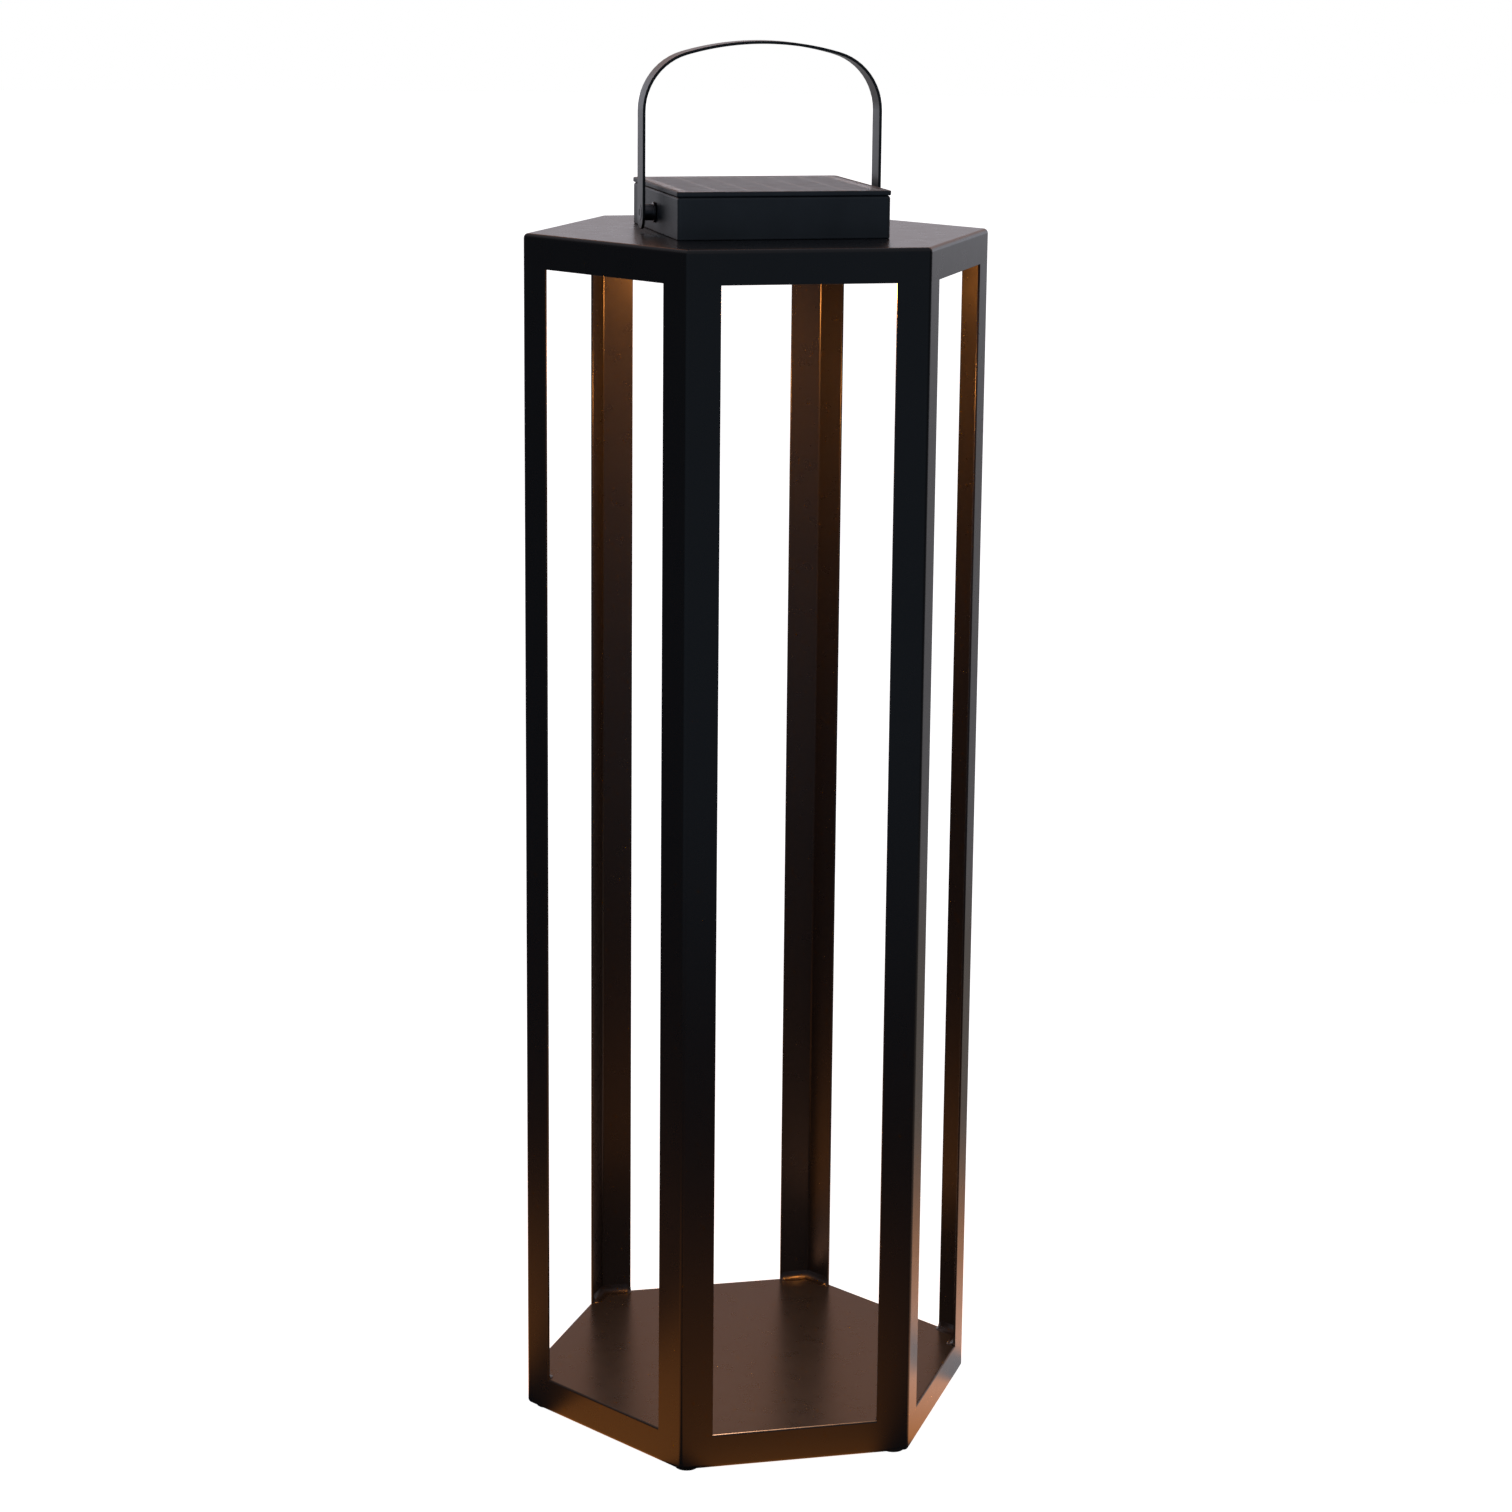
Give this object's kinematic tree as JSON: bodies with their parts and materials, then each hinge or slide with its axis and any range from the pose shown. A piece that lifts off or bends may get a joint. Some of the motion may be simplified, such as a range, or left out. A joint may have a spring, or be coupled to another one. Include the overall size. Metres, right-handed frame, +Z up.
{
  "type": "solar lantern",
  "caption": "Tall hexagonal sheet-metal cage lantern with open sides, a square solar light module on its cap and a swinging bail handle.",
  "frame": {"origin": "centre of the footprint, on the surface the lantern stands on", "axes": "+Z up; two flat sides face +Y and -Y, and two corners and the handle's pivots lie along X"},
  "size_m": [0.1994, 0.1732, 0.5935],
  "materials": {
    "powder_coat": "satin anthracite powder coat with a fine texture",
    "module_plastic": "fine-grained moulded black plastic",
    "rubber": "matt black rubber",
    "panel_glass": "clear glass over the cells",
    "silicon": "dark blue cells under glass",
    "white_plastic": "white moulded plastic",
    "zinc_steel": "blackened zinc-plated steel",
    "nickel": "nickel-plated spring wire",
    "circuit": "green solder mask",
    "epoxy": "black moulded epoxy",
    "frosted": "frosted warm-white diffuser",
    "phosphor": "yellow LED phosphor",
    "lead_sheath": "black PVC sheath",
    "cell_wrap": "plain green shrink wrap"
  },
  "bodies": {
    "cage": {"top_cap": "powder_coat", "corner_post_1": "powder_coat", "corner_post_2": "powder_coat", "corner_post_3": "powder_coat", "corner_post_4": "powder_coat", "corner_post_5": "powder_coat", "corner_post_6": "powder_coat", "base_pan": "powder_coat", "foot_1": "rubber", "foot_2": "rubber", "foot_3": "rubber", "foot_4": "rubber", "foot_5": "rubber", "foot_6": "rubber", "module_housing": "module_plastic", "module_gasket": "rubber", "module_bezel": "module_plastic", "solar_glass": "panel_glass", "solar_backsheet": "white_plastic", "solar_cell_1": "silicon", "solar_cell_2": "silicon", "solar_cell_3": "silicon", "solar_cell_4": "silicon", "solar_cell_5": "silicon", "solar_cell_6": "silicon", "module_screw_1": "zinc_steel", "module_screw_2": "zinc_steel", "module_screw_3": "zinc_steel", "module_screw_4": "zinc_steel", "battery_holder": "module_plastic", "battery_cell_1": "cell_wrap", "battery_spring_1": "nickel", "battery_cell_2": "cell_wrap", "battery_spring_2": "nickel", "control_board": "circuit", "board_chip": "epoxy", "board_inductor": "epoxy", "light_housing": "module_plastic", "led_board": "white_plastic", "led_1": "phosphor", "led_2": "phosphor", "led_3": "phosphor", "led_4": "phosphor", "reflector": "white_plastic", "diffuser_lens": "frosted", "lens_bezel": "module_plastic", "switch_body": "module_plastic", "solar_lead": "lead_sheath", "battery_lead": "lead_sheath", "light_lead": "lead_sheath", "switch_lead": "lead_sheath", "handle_spacer_1": "zinc_steel", "handle_screw_1": "zinc_steel", "handle_nut_1": "zinc_steel", "handle_spacer_2": "zinc_steel", "handle_screw_2": "zinc_steel", "handle_nut_2": "zinc_steel"},
    "handle": {"handle_strip": "powder_coat"},
    "button": {"switch_button": "rubber"}
  },
  "joints": [
    {"name": "handle_swing", "type": "hinge", "parent": "cage", "child": "handle", "pos_m": [0, 0, 0.5235], "axis": [1, 0, 0], "range_deg": [-90, 90]},
    {"name": "switch_press", "type": "slide", "parent": "cage", "child": "button", "axis": [0, 0, 1], "range_m": [0, 0.0012], "stiffness_N_per_m": 400, "springref_m": -0.001}
  ]
}
